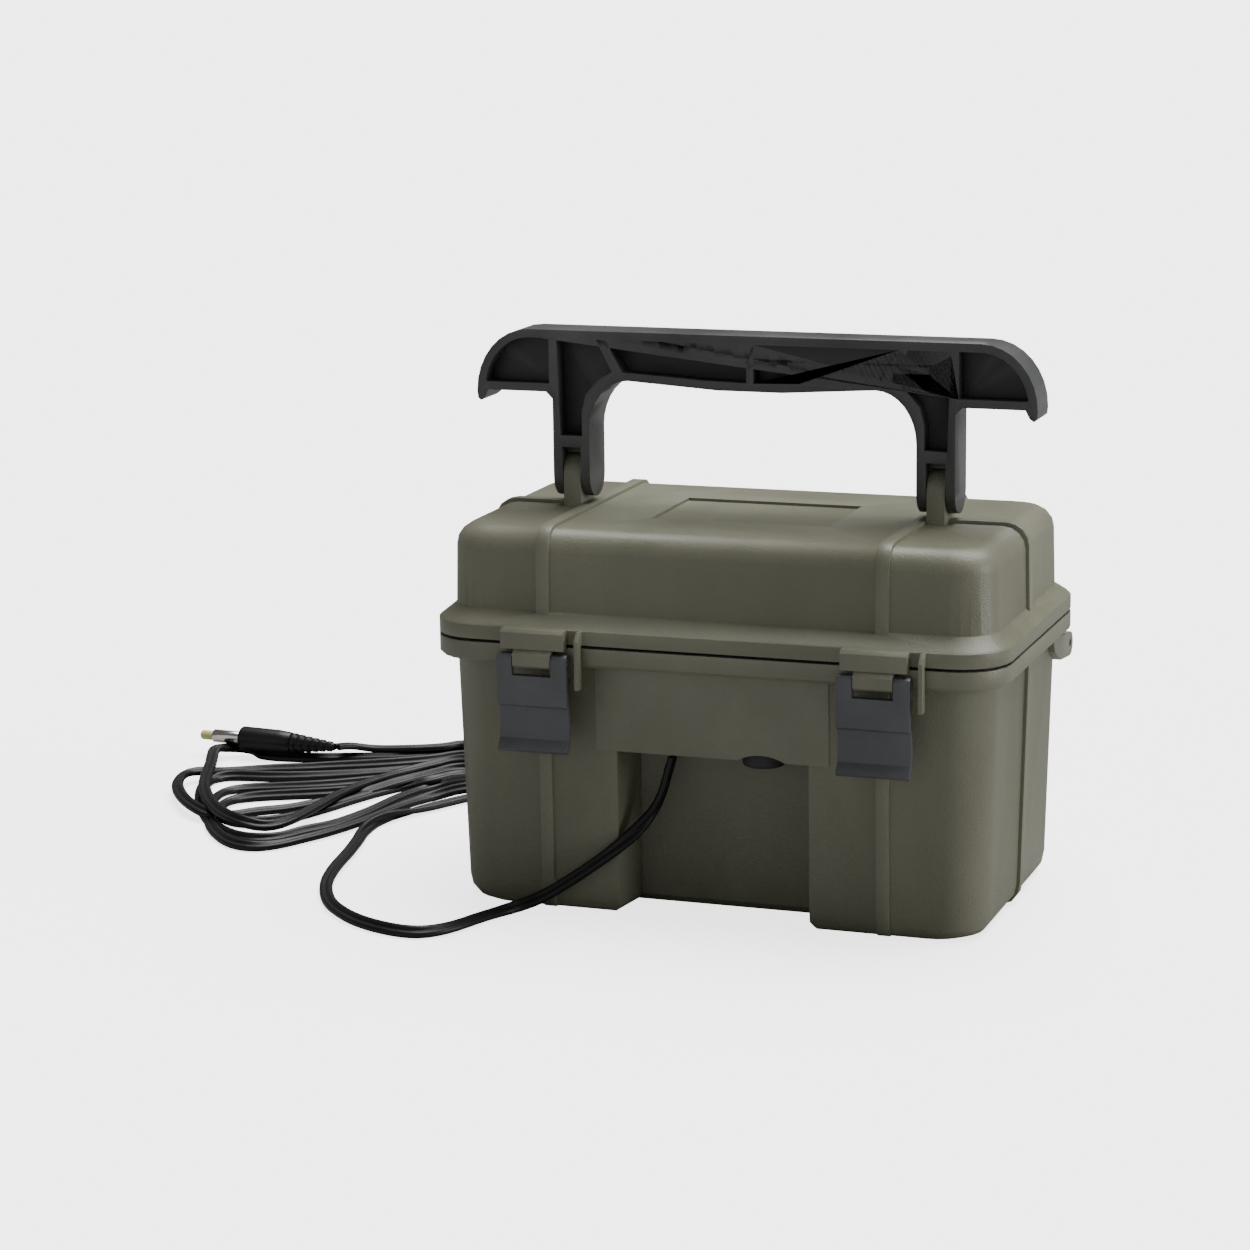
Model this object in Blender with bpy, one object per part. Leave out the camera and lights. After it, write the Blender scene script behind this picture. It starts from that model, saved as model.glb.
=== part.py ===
"""Portable battery box: a moulded case with a hinged lid, two snap latches, a folding carry handle,
a sealed 12 V battery inside, and a twin-flex power cord with a barrel plug.

Metres, +Z up. X runs along the width, the front is at -Y, and the origin is on the floor under the
middle of the case.
"""
import math

import bmesh
import bpy
from mathutils import Vector
from mathutils.geometry import interpolate_bezier

# ---- driving dimensions -------------------------------------------------------------------------
GAP = 0.0003  # between pieces that touch
RUNNING_FIT = 0.0001  # round a turning pin
WALL = 0.0024
FLOOR = 0.0030
CORNER_STEPS = 6

BODY_HALF_X = 0.0996  # at the rim
BODY_HALF_Y = 0.0545
BODY_DRAFT_X = 0.0024  # how far the walls lean in by the floor
BODY_DRAFT_Y = 0.0008
BODY_CORNER = 0.0140
BOTTOM_ROUND_X = 0.0060
BOTTOM_ROUND_Y = 0.0025
BOTTOM_ROUND_Z = 0.0080
RIM_OUT_X = 0.0052
RIM_OUT_Y = 0.0077
RIM_CORNER = 0.0180
RIM_TOP = 0.0980
RIM_DEEP = 0.0070
RIB_WIDTH = 0.0046
RIB_PROUD = 0.0012

SEAM = 0.0011  # open joint between the two rims
LID_RIM = 0.0060
LID_SLOPE = 0.0040
LID_HEIGHT = 0.0387  # from the seam to the lid's flat top
LID_HALF_X = 0.0997
LID_HALF_Y = 0.0548
LID_DRAFT = 0.0005
LID_ROUND = 0.0080
LABEL_HALF_X = 0.0330
LABEL_HALF_Y = 0.0210
LABEL_DEEP = 0.0010

RECESS_HALF_X = 0.0354
RECESS_SPLAY = 0.0028  # how much narrower each side is at the back
RECESS_DEPTH = 0.0175
RECESS_FOOT = 0.0025
LEDGE_Z = 0.0630
SKIRT = 0.0030
APRON_HALF_X = 0.0428
APRON_PROUD = 0.0006
ARCH_X = 0.0182
ARCH_HALF_X = 0.0087
ARCH_RISE = 0.0022

LATCH_X = 0.0620
LATCH_HALF_WIDTH = 0.0130
LATCH_PLATE = 0.0023
LATCH_PIN_RADIUS = 0.0010
BLOCK_HALF_WIDTH = 0.0118
TAB_HALF_WIDTH = 0.0070
FIN_THICK = 0.0015
FIN_CLEAR = 0.0027
OPENING_CLEAR = 0.0012  # what hangs before the base rim swings in this much as the lid lifts

HANDLE_LEG_X = 0.0680
HANDLE_HALF_REACH = 0.1043
HANDLE_HALF_DEEP = 0.0080
LEG_HALF_WIDTH = 0.0070
PIVOT_ABOVE_LID = 0.0112
GRIP_ABOVE_PIVOT = 0.0533
GRIP_HIGH = 0.0176  # at its thinnest, by the legs
ARCH_ROUND = (0.0150, 0.0187)
WING_HIGH = 0.0226
WING_ROUND = (0.0203, 0.0232)
TIP_DROP = 0.0040
HANDLE_WEB = 0.0026
SLOT_WEB = 0.0044  # thicker over the lug
HANDLE_SKIN = 0.0030
HANDLE_PIN_RADIUS = 0.0020
PIN_COVER = 0.0009  # skin of each leg over the pin's end
LUG_HALF_WIDTH = 0.0033
LUG_RADIUS = 0.0077
LUG_CLEAR = 0.0006

HINGE_Y_OUT = 0.0050  # hinge axis behind the body's back wall
HINGE_BELOW_RIM = 0.0080
HINGE_RADIUS = 0.0045
HINGE_PIN_RADIUS = 0.0016
HINGE_END_X = 0.1018
KNUCKLE = 0.0100
ARM_THICK = 0.0036

BATTERY_X = 0.1510
BATTERY_Y = 0.0650
BATTERY_Z = 0.0940
BATTERY_COVER = 0.0055
PAD_FRONT = 0.0023
TERMINAL_X = 0.0620
LEAD_RADIUS = 0.0010

GLAND_X = -0.0180
GLAND_RADIUS = 0.0032
JACK_X = 0.0160
JACK_RADIUS = 0.0055
CAP_RADIUS = 0.0077
CAP_BELOW_LEDGE = 0.0068

CORD_RADIUS = 0.0017  # round stand-in of the flat twin flex
HANK_HIGH = 0.0027
PLUG_RADIUS = 0.0052
PLUG_BODY = 0.0236
PLUG_RELIEF = 0.0192
PLUG_BARREL = 0.0126
RELIEF_GROOVE = 0.0006
PLUG_BARREL_RADIUS = 0.00275
PLUG_TIP = 0.0060

# ---- derived places -----------------------------------------------------------------------------
RIM_HALF_X = BODY_HALF_X + RIM_OUT_X
RIM_HALF_Y = BODY_HALF_Y + RIM_OUT_Y
RIM_BOTTOM = RIM_TOP - RIM_DEEP
LID_BOTTOM = RIM_TOP + SEAM
LID_TOP = LID_BOTTOM + LID_HEIGHT
PIVOT_Z = LID_TOP + PIVOT_ABOVE_LID
HINGE_Y = BODY_HALF_Y + HINGE_Y_OUT
HINGE_Z = RIM_BOTTOM - HINGE_BELOW_RIM
RECESS_Y = -BODY_HALF_Y + BODY_DRAFT_Y + RECESS_DEPTH
HANG_Y = -RIM_HALF_Y - OPENING_CLEAR  # back of everything on the lid that hangs before the base rim
LATCH_FRONT_Y = HANG_Y - 2 * LATCH_PLATE
LATCH_PIVOT_Y = HANG_Y - LATCH_PLATE
LATCH_PIVOT_Z = RIM_BOTTOM + 0.0028
PORT_Y = (RECESS_Y - BODY_HALF_Y + WALL) / 2  # middle of the ledge


# ---- tools --------------------------------------------------------------------------------------
def clear_scene():
    for obj in list(bpy.data.objects):
        bpy.data.objects.remove(obj, do_unlink=True)


def material(name, colour, roughness, metallic=0.0):
    found = bpy.data.materials.get(name)
    if found:
        return found
    made = bpy.data.materials.new(name)
    made.use_nodes = True
    shader = made.node_tree.nodes["Principled BSDF"]
    shader.inputs["Base Color"].default_value = (*colour, 1.0)
    shader.inputs["Roughness"].default_value = roughness
    shader.inputs["Metallic"].default_value = metallic
    made.diffuse_color = (*colour, 1.0)
    return made


def olive():
    return material("olive_plastic", (0.085, 0.083, 0.050), 0.55)


def black():
    return material("black_plastic", (0.012, 0.013, 0.013), 0.45)


def steel():
    return material("steel", (0.55, 0.55, 0.56), 0.35, 1.0)


def place(name, bm, finish, origin=(0.0, 0.0, 0.0), smooth=True):
    """One object from a bmesh drawn in world space, with its own origin."""
    bmesh.ops.recalc_face_normals(bm, faces=bm.faces)
    bmesh.ops.translate(bm, verts=bm.verts, vec=-Vector(origin))
    mesh = bpy.data.meshes.new(name)
    bm.to_mesh(mesh)
    bm.free()
    if smooth:
        mesh.shade_smooth()
        mesh.set_sharp_from_angle(angle=math.radians(35))
    obj = bpy.data.objects.new(name, mesh)
    obj.location = origin
    if finish:
        mesh.materials.append(finish)
    bpy.context.scene.collection.objects.link(obj)
    return obj


def combine(target, others, operation):
    """Joins solids to the target, or cuts them from it, and removes them."""
    for other in others:
        modifier = target.modifiers.new("combine", "BOOLEAN")
        modifier.operation = operation
        modifier.solver = "EXACT"
        modifier.object = other
    bpy.context.view_layer.update()
    graph = bpy.context.evaluated_depsgraph_get()
    made = bpy.data.meshes.new_from_object(target.evaluated_get(graph))
    target.modifiers.clear()
    target.data = made
    for other in others:
        bpy.data.objects.remove(other, do_unlink=True)
    return target


def loft(rings):
    """Closed skin through rings of equally many points."""
    bm = bmesh.new()
    loops = [[bm.verts.new(p) for p in ring] for ring in rings]
    for low, high in zip(loops, loops[1:]):
        for i, start in enumerate(low):
            j = (i + 1) % len(low)
            bm.faces.new((start, low[j], high[j], high[i]))
    bm.faces.new(list(reversed(loops[0])))
    bm.faces.new(loops[-1])
    return bm


def rounded(half_x, half_y, radius, z, steps=CORNER_STEPS):
    """A level rectangle with round corners."""
    points = []
    for turn, (sx, sy) in enumerate(((1, 1), (-1, 1), (-1, -1), (1, -1))):
        for step in range(steps + 1):
            angle = math.radians(90 * (turn + step / steps))
            points.append(
                (
                    sx * (half_x - radius) + radius * math.cos(angle),
                    sy * (half_y - radius) + radius * math.sin(angle),
                    z,
                )
            )
    return points


def rounded_stack(levels):
    """Solid through (half_x, half_y, radius, z) levels."""
    return loft([rounded(*level) for level in levels])


def box(low, high):
    bm = bmesh.new()
    bmesh.ops.create_cube(bm, size=1.0)
    size = Vector(high) - Vector(low)
    bmesh.ops.scale(bm, verts=bm.verts, vec=size)
    bmesh.ops.translate(bm, verts=bm.verts, vec=(Vector(high) + Vector(low)) / 2)
    return bm


def prism(outline, axis, low, high):
    """Extrudes an outline along X or Y; the outline is in (y, z) or (x, z)."""
    def at(point, along):
        return (along, *point) if axis == "X" else (point[0], along, point[1])

    return loft([[at(p, low) for p in outline], [at(p, high) for p in outline]])


def turned(profile, start, direction, sides=20):
    """Round solid: (distance, radius) pairs along a direction from a start point."""
    start, direction = Vector(start), Vector(direction).normalized()
    side = direction.orthogonal().normalized()
    other = direction.cross(side)
    rings = []
    for along, radius in profile:
        ring = []
        for step in range(sides):
            angle = 2 * math.pi * step / sides
            spoke = math.cos(angle) * side + math.sin(angle) * other
            ring.append(start + along * direction + radius * spoke)
        rings.append(ring)
    return loft(rings)


def rod(radius, start, end, sides=16):
    start, end = Vector(start), Vector(end)
    return turned([(0.0, radius), ((end - start).length, radius)], start, end - start, sides)


def arc(centre, radius, first, last, steps):
    """Points on a circle, from one angle in degrees to another."""
    points = []
    for step in range(steps + 1):
        angle = math.radians(first + (last - first) * step / steps)
        points.append((centre[0] + radius * math.cos(angle), centre[1] + radius * math.sin(angle)))
    return points


def smooth_route(points, count):
    """Evenly spaced points on one smooth curve through the given ones."""
    points = [Vector(p) for p in points]
    slopes = []
    for i, point in enumerate(points):
        before, after = points[max(i - 1, 0)], points[min(i + 1, len(points) - 1)]
        slopes.append((after - before) / (2 if 0 < i < len(points) - 1 else 1))
    fine = []
    for i, (start, end) in enumerate(zip(points, points[1:])):
        piece = interpolate_bezier(start, start + slopes[i] / 3, end - slopes[i + 1] / 3, end, 17)
        fine += piece[:-1]
    fine.append(points[-1])
    lengths = [0.0]
    for start, end in zip(fine, fine[1:]):
        lengths.append(lengths[-1] + (end - start).length)
    even, j = [], 0
    for step in range(count):
        wanted = lengths[-1] * step / (count - 1)
        while j < len(lengths) - 2 and lengths[j + 1] < wanted:
            j += 1
        share = (wanted - lengths[j]) / (lengths[j + 1] - lengths[j])
        even.append(fine[j].lerp(fine[j + 1], share))
    return even


def tube(name, points, radius, count, finish):
    """A cord as a curve with a round bevel and filled caps."""
    curve = bpy.data.curves.new(name, "CURVE")
    curve.dimensions = "3D"
    curve.bevel_depth = radius
    curve.bevel_resolution = 2
    curve.use_fill_caps = True
    spline = curve.splines.new("POLY")
    route = smooth_route(points, count)
    spline.points.add(len(route) - 1)
    for slot, point in zip(spline.points, route):
        slot.co = (*point, 1.0)
    curve.materials.append(finish)
    obj = bpy.data.objects.new(name, curve)
    bpy.context.scene.collection.objects.link(obj)
    return obj


# ---- base ---------------------------------------------------------------------------------------
def body_levels(out):
    """Levels of the body's outside, moved out (or in, if negative) by a distance."""
    levels = []
    for angle in (0, 30, 60, 90):
        back = 1 - math.sin(math.radians(angle))
        up = 1 - math.cos(math.radians(angle))
        levels.append(
            (
                BODY_HALF_X - BODY_DRAFT_X - BOTTOM_ROUND_X * back + out,
                BODY_HALF_Y - BODY_DRAFT_Y - BOTTOM_ROUND_Y * back + out,
                BODY_CORNER + out,
                BOTTOM_ROUND_Z * up,
            )
        )
    levels.append((BODY_HALF_X + out, BODY_HALF_Y + out, BODY_CORNER + out, RIM_BOTTOM + 0.001))
    return levels


def strips(levels, name):
    """Narrow raised ribs: two across the front and back, one down the middle of each side."""
    ribs = []
    low, high = levels[0][3], levels[-1][3]
    for x in (-LATCH_X, LATCH_X):
        slab = place("slab", box((x - RIB_WIDTH / 2, -0.2, low), (x + RIB_WIDTH / 2, 0.2, high)), None)
        ribs.append(combine(slab, [place(name, rounded_stack(levels), None)], "INTERSECT"))
    for side in (-1, 1):
        ends = sorted((side * HANDLE_LEG_X, side * 0.2))
        slab = place(
            "slab", box((ends[0], -RIB_WIDTH / 2, low), (ends[1], RIB_WIDTH / 2, high)), None
        )
        ribs.append(combine(slab, [place(name, rounded_stack(levels), None)], "INTERSECT"))
    return ribs


def recess_cutter(grow, foot):
    """The hand-wide bay in the front of the body, under the ledge, a little wider at its foot."""
    rings = []
    levels = [(grow + foot, -0.01), (grow + foot, 0.0)]
    levels += [(grow, foot + 0.0003), (grow, LEDGE_Z + grow)]
    for out, z in levels:
        front, back = RECESS_HALF_X + out, RECESS_HALF_X - RECESS_SPLAY + out
        right = [(back, RECESS_Y + out), (front, -BODY_HALF_Y), (front, -0.2)]
        rings.append([(x, y, z) for x, y in right + [(-x, y) for x, y in reversed(right)]])
    return loft(rings)


def base_shell():
    base = place("base_shell", rounded_stack(body_levels(0.0)), olive())
    rim = [(RIM_HALF_X - 0.0012, RIM_HALF_Y - 0.0012, RIM_CORNER - 0.0012, RIM_BOTTOM)]
    rim.append((RIM_HALF_X, RIM_HALF_Y, RIM_CORNER, RIM_BOTTOM + 0.0012))
    rim.append((RIM_HALF_X, RIM_HALF_Y, RIM_CORNER, RIM_TOP))
    added = strips(body_levels(RIB_PROUD), "rib_body")
    added.append(place("rim", rounded_stack(rim), None))
    apron_y = -BODY_HALF_Y - APRON_PROUD
    added.append(
        place(
            "apron",
            box(
                (-APRON_HALF_X, apron_y, LEDGE_Z - SKIRT),
                (APRON_HALF_X, apron_y + WALL + APRON_PROUD, RIM_BOTTOM + 0.001),
            ),
            None,
        )
    )
    for side in (-1, 1):
        for inner, outer in hinge_spans():
            ends = sorted((side * inner, side * outer))
            added.append(hinge_boss(ends))
    combine(base, added, "UNION")
    bay = place("bay", recess_cutter(0.0, RECESS_FOOT), None)
    combine(bay, [place("skirt", skirt_keeper(), None)], "DIFFERENCE")
    inside = [
        (x - WALL, y - WALL, max(r - WALL, 0.002), z)
        for x, y, r, z in body_levels(0.0)[2:]
    ]
    inside[0] = (*inside[0][:3], FLOOR)
    inside[-1] = (*inside[-1][:3], RIM_TOP + 0.001)
    cavity = place("cavity", rounded_stack(inside), None)
    combine(cavity, [place("bay_wall", recess_cutter(WALL, 0.0), None)], "DIFFERENCE")
    cuts = [bay, cavity, place("groove", gasket_ring(0.0), None), place("arch", arch_cutter(), None)]
    for name, x, radius in (("gland_hole", GLAND_X, GLAND_RADIUS), ("jack_hole", JACK_X, JACK_RADIUS)):
        hole = rod(radius + GAP, (x, PORT_Y, LEDGE_Z - 0.010), (x, PORT_Y, LEDGE_Z + 0.010))
        cuts.append(place(name, hole, None))
    for side in (-1, 1):
        cuts.append(place("pin_hole", hinge_bore(side), None))
    combine(base, cuts, "DIFFERENCE")
    return combine(base, battery_ribs(), "UNION")


def skirt_keeper():
    """What the bay leaves of the apron below the ledge."""
    front = -BODY_HALF_Y - APRON_PROUD - 0.001
    return box(
        (-RECESS_HALF_X - 0.01, front, LEDGE_Z - SKIRT),
        (RECESS_HALF_X + 0.01, -BODY_HALF_Y + WALL, LEDGE_Z + 0.01),
    )


def arch_cutter():
    """The finger notch in the skirt in front of the charging socket."""
    z = LEDGE_Z - SKIRT
    half_angle = 2 * math.atan(ARCH_RISE / ARCH_HALF_X)
    radius = ARCH_HALF_X / math.sin(half_angle)
    centre = (ARCH_X, z + ARCH_RISE - radius)
    top = arc(centre, radius, 90 - math.degrees(half_angle), 90 + math.degrees(half_angle), 8)
    outline = [(ARCH_X + ARCH_HALF_X, z - 0.002), *top, (ARCH_X - ARCH_HALF_X, z - 0.002)]
    return prism(outline, "Y", -BODY_HALF_Y - 0.003, -BODY_HALF_Y + WALL + 0.001)


def gasket_ring(slack):
    """Ring in the top of the base rim: the groove, or the seal that lies in it."""
    mid_x, mid_y = (BODY_HALF_X + RIM_HALF_X) / 2 - 0.0005, (BODY_HALF_Y + RIM_HALF_Y) / 2
    half = 0.0012 - slack
    low, high = (RIM_TOP - 0.0012, RIM_TOP + 0.001)
    if slack:
        low, high = low + slack, LID_BOTTOM - slack
    corner = RIM_CORNER - (RIM_HALF_X - mid_x)
    sizes = [(half, low), (half, high), (-half, high), (-half, low)]
    rings = [rounded(mid_x + out, mid_y + out, corner + out, z) for out, z in sizes]
    bm = bmesh.new()
    loops = [[bm.verts.new(p) for p in ring] for ring in rings]
    for low_loop, high_loop in zip(loops, loops[1:] + loops[:1]):
        for i, start in enumerate(low_loop):
            j = (i + 1) % len(low_loop)
            bm.faces.new((start, low_loop[j], high_loop[j], high_loop[i]))
    return bm


def hinge_spans():
    """X spans of the two fixed knuckles beside the lid's arm, on one side."""
    outer = (HINGE_END_X - KNUCKLE, HINGE_END_X)
    arm_inner = outer[0] - 2 * GAP - KNUCKLE
    return (outer, (arm_inner - KNUCKLE, arm_inner))


def hinge_boss(ends):
    """One fixed knuckle; the outer ones run forward along the body's side as a cheek."""
    low, high = HINGE_Z - HINGE_RADIUS, RIM_BOTTOM + 0.0010
    if abs(ends[0]) > BODY_HALF_X or abs(ends[1]) > BODY_HALF_X:
        cheek = [(BODY_HALF_Y - 0.024, high), (BODY_HALF_Y - 0.008, RIM_BOTTOM - 0.0022)]
        foot = [(BODY_HALF_Y - 0.0100, low + 0.0015), (BODY_HALF_Y - 0.0200, HINGE_Z + 0.0020)]
    else:
        cheek = [(BODY_HALF_Y - 0.010, HINGE_Z + 0.0030), (BODY_HALF_Y, HINGE_Z + 0.0038)]
        foot = [(BODY_HALF_Y, HINGE_Z - 0.0038), (BODY_HALF_Y - 0.010, HINGE_Z - 0.0030)]
    outline = cheek + arc((HINGE_Y, HINGE_Z), HINGE_RADIUS, 90, -90, 10) + foot
    return place("boss", prism(outline, "X", *ends), None)


def hinge_bore(side):
    inner = hinge_spans()[1][0]
    ends = sorted((side * (inner - 0.001), side * (HINGE_END_X + 0.001)))
    return rod(HINGE_PIN_RADIUS + RUNNING_FIT, (ends[0], HINGE_Y, HINGE_Z), (ends[1], HINGE_Y, HINGE_Z))


def battery_bottom():
    return FLOOR + GAP


def battery_y():
    """Front and back of the battery."""
    front = RECESS_Y + WALL + GAP + PAD_FRONT + GAP
    return front, front + BATTERY_Y


def battery_ribs():
    """Upright plates that keep the battery in the middle of the case."""
    ribs = []
    front, back = battery_y()
    for side in (-1, 1):
        ends = sorted((side * (BATTERY_X / 2 + 0.0015), side * (BATTERY_X / 2 + 0.0035)))
        ribs.append(place("rib", box((ends[0], front, FLOOR - 0.001), (ends[1], back, 0.045)), None))
    return ribs


# ---- lid ----------------------------------------------------------------------------------------
def lid_levels(out):
    """Levels of the lid's outside above its rim, moved out by a distance."""
    levels = [(LID_HALF_X + out, LID_HALF_Y + out, BODY_CORNER + out, LID_BOTTOM + LID_RIM)]
    shoulder = LID_TOP - LID_ROUND
    for angle in (0, 22.5, 45, 67.5, 90):
        back = LID_ROUND * (1 - math.cos(math.radians(angle)))
        up = LID_ROUND * math.sin(math.radians(angle))
        levels.append(
            (
                LID_HALF_X - LID_DRAFT - back + out,
                LID_HALF_Y - LID_DRAFT - back + out,
                BODY_CORNER - back * 0.6 + out,
                shoulder + up + out,
            )
        )
    return levels


def lid_shell():
    lid = place("lid_shell", rounded_stack(lid_levels(0.0)), olive(), (0.0, HINGE_Y, HINGE_Z))
    slope_top = LID_BOTTOM + LID_RIM + LID_SLOPE
    rim = [
        (RIM_HALF_X, RIM_HALF_Y, RIM_CORNER, LID_BOTTOM),
        (RIM_HALF_X, RIM_HALF_Y, RIM_CORNER, LID_BOTTOM + LID_RIM - 0.0010),
        (RIM_HALF_X - 0.0010, RIM_HALF_Y - 0.0012, RIM_CORNER - 0.001, LID_BOTTOM + LID_RIM),
        (LID_HALF_X - 0.0005, LID_HALF_Y - 0.0005, BODY_CORNER, slope_top),
    ]
    added = [place("rim", rounded_stack(rim), None)]
    added += strips(lid_levels(RIB_PROUD), "rib_body")
    for side in (-1, 1):
        added.append(handle_lug(side * HANDLE_LEG_X))
        added.append(latch_block(side * LATCH_X))
        added.append(latch_fin(side * LATCH_X))
        added.append(hinge_arm(side))
    combine(lid, added, "UNION")
    label = box(
        (-LABEL_HALF_X, -LABEL_HALF_Y, LID_TOP - LABEL_DEEP), (LABEL_HALF_X, LABEL_HALF_Y, LID_TOP + 0.01)
    )
    inside = [
        (x - WALL, y - WALL, max(r - WALL, 0.002), z - WALL) for x, y, r, z in lid_levels(0.0)
    ]
    inside[0] = (*inside[0][:3], LID_BOTTOM - 0.001)
    cuts = [place("label", label, None), place("cavity", rounded_stack(inside), None)]
    for side in (-1, 1):
        x = side * HANDLE_LEG_X
        reach = LUG_HALF_WIDTH + 0.002
        bore = rod(HANDLE_PIN_RADIUS + RUNNING_FIT, (x - reach, 0, PIVOT_Z), (x + reach, 0, PIVOT_Z))
        cuts.append(place("lug_bore", bore, None))
        x = side * LATCH_X
        reach = TAB_HALF_WIDTH + 0.002
        low = (x - reach, LATCH_PIVOT_Y, LATCH_PIVOT_Z)
        high = (x + reach, LATCH_PIVOT_Y, LATCH_PIVOT_Z)
        cuts.append(place("tab_bore", rod(LATCH_PIN_RADIUS + RUNNING_FIT, low, high, 12), None))
        cuts.append(place("pin_hole", hinge_bore(side), None))
    return combine(lid, cuts, "DIFFERENCE")


def handle_lug(x):
    outline = [(-LUG_RADIUS, LID_TOP - 0.001), (LUG_RADIUS, LID_TOP - 0.001)]
    outline += arc((0.0, PIVOT_Z), LUG_RADIUS, 0, 180, 12)
    return place("lug", prism(outline, "X", x - LUG_HALF_WIDTH, x + LUG_HALF_WIDTH), None)


def latch_block(x):
    """The thick block on the lid's rim with the knuckle tab that the latch turns on."""
    low, high = LID_BOTTOM - 0.0016, LID_BOTTOM + LID_RIM - 0.0006
    root = -RIM_HALF_Y + 0.0020
    outline = [(HANG_Y, low), (HANG_Y, LID_BOTTOM + GAP), (root, LID_BOTTOM + GAP), (root, high)]
    outline += [(LATCH_FRONT_Y + 0.0020, high), (LATCH_FRONT_Y + 0.0010, high - 0.0012)]
    outline.append((LATCH_FRONT_Y + 0.0010, low))
    block = place("block", prism(outline, "X", x - BLOCK_HALF_WIDTH, x + BLOCK_HALF_WIDTH), None)
    back = HANG_Y - 0.0001
    outline = [(back, low + 0.0010), (HANG_Y - 0.0018, low + 0.0010)]
    outline.append((LATCH_FRONT_Y + 0.0004, LATCH_PIVOT_Z + 0.0024))
    outline += [(LATCH_FRONT_Y, LATCH_PIVOT_Z + 0.0018), (LATCH_FRONT_Y, LATCH_PIVOT_Z - 0.0020)]
    outline += [(LATCH_FRONT_Y + 0.0008, LATCH_PIVOT_Z - 0.0028), (back, LATCH_PIVOT_Z - 0.0028)]
    tab = prism(outline, "X", x - TAB_HALF_WIDTH, x + TAB_HALF_WIDTH)
    return combine(block, [place("tab", tab, None)], "UNION")


def latch_fin(x):
    """The guard rib that hangs from the lid's rim to the right of each latch."""
    low = x + LATCH_HALF_WIDTH + FIN_CLEAR
    front, top, root = LATCH_FRONT_Y + 0.0012, LID_BOTTOM + LID_RIM - 0.0010, -RIM_HALF_Y + 0.0020
    outline = [(HANG_Y, RIM_BOTTOM - 0.0072), (HANG_Y, LID_BOTTOM + GAP), (root, LID_BOTTOM + GAP)]
    outline += [(root, top), (HANG_Y - 0.0010, top), (front, top - 0.0030), (front, RIM_BOTTOM - 0.0072)]
    return place("fin", prism(outline, "X", low, low + FIN_THICK), None)


def hinge_arm(side):
    """Arm over the back of the base rim, ending in a knuckle on the hinge axis."""
    outer = HINGE_END_X - KNUCKLE - GAP
    ends = sorted((side * outer, side * (outer - KNUCKLE)))
    clear_y, top = RIM_HALF_Y + 0.0005, LID_BOTTOM + LID_RIM - 0.0006
    back, root = clear_y + ARM_THICK, RIM_HALF_Y - 0.0020
    start = math.degrees(math.acos((clear_y - HINGE_Y) / HINGE_RADIUS))
    outline = [(root, top), (root, LID_BOTTOM + GAP), (clear_y, LID_BOTTOM + GAP)]
    outline += arc((HINGE_Y, HINGE_Z), HINGE_RADIUS, start, 290, 14)
    outline += [(back - 0.0012, HINGE_Z - 0.0016), (back, HINGE_Z + 0.0012)]
    outline += [(back, top - 0.0015), (back - 0.0015, top)]
    return place("arm", prism(outline, "X", *ends), None)


# ---- handle -------------------------------------------------------------------------------------
def both_sides(outline):
    """An outline's right half and its mirror image, as one closed loop."""
    return outline + [(-x, z) for x, z in reversed(outline)]


def ellipse(centre, half, first, last, steps):
    """Points on an ellipse with level axes, from one angle in degrees to another."""
    points = arc((0.0, 0.0), 1.0, first, last, steps)
    return [(centre[0] + half[0] * x, centre[1] + half[1] * z) for x, z in points]


def handle_outline():
    top = PIVOT_Z + GRIP_ABOVE_PIVOT
    wing = top - WING_HIGH
    inner, outer = HANDLE_LEG_X - LEG_HALF_WIDTH, HANDLE_LEG_X + LEG_HALF_WIDTH
    reach = HANDLE_HALF_REACH
    right = ellipse((reach - WING_ROUND[0], top - WING_ROUND[1]), WING_ROUND, 90, 0, 8)
    tip = wing - TIP_DROP
    right += [(reach - 0.0003, tip + 0.0009), (reach - 0.0014, tip), (reach - 0.0030, tip + 0.0012)]
    right += [(reach - 0.0044, wing), (outer + 0.0025, wing), (outer, wing - 0.0025)]
    foot = PIVOT_Z - HANDLE_HALF_DEEP - 0.001
    right += [(outer, foot), (inner, foot)]
    shoulder = top - GRIP_HIGH
    corner = (inner - ARCH_ROUND[0], shoulder - ARCH_ROUND[1])
    right += ellipse(corner, ARCH_ROUND, 0, 90, 8)
    right += [(0.0300, shoulder - 0.0010), (0.0120, shoulder - 0.0022)]
    return both_sides(right)


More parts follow.
